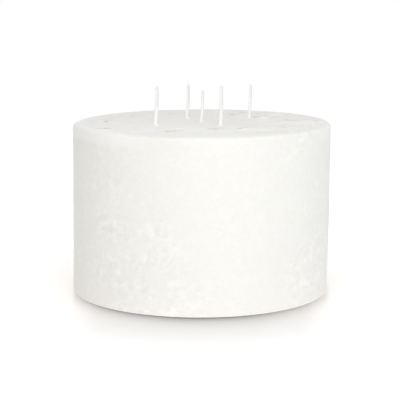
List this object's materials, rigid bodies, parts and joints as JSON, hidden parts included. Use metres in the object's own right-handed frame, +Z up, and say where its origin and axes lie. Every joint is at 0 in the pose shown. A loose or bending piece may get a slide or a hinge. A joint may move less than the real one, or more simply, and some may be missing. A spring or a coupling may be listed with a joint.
{
  "type": "pillar candle",
  "caption": "Wide, low pillar candle of white wax with a mottled rustic dipped coat and several short upright wicks, for lighting a table or a hearth.",
  "frame": {"origin": "centre of the base, on the surface that the candle stands on", "axes": "+Z up along the candle's axis, +X to the right and +Y to the back as the picture sees it"},
  "size_m": [0.23, 0.23, 0.186],
  "materials": {
    "core_wax": "cast wax, smooth and slightly translucent",
    "coat_wax": "dipped wax, mottled and frosted, soft sheen",
    "cotton_braid": "bleached cotton braid, waxed",
    "wick_wax": "thin wax skin, soft sheen",
    "tinplate": "bright pressed tinplate"
  },
  "bodies": {
    "root": {"wax_core": "core_wax", "rustic_coat": "coat_wax", "wick_braid_front_left": "cotton_braid", "wick_braid_front_right": "cotton_braid", "wick_braid_centre": "cotton_braid", "wick_braid_back_left": "cotton_braid", "wick_braid_back_right": "cotton_braid", "wick_wax_front_left": "wick_wax", "wick_wax_front_right": "wick_wax", "wick_wax_centre": "wick_wax", "wick_wax_back_left": "wick_wax", "wick_wax_back_right": "wick_wax", "sustainer_front_left": "tinplate", "sustainer_front_right": "tinplate", "sustainer_centre": "tinplate", "sustainer_back_left": "tinplate", "sustainer_back_right": "tinplate"}
  },
  "joints": []
}
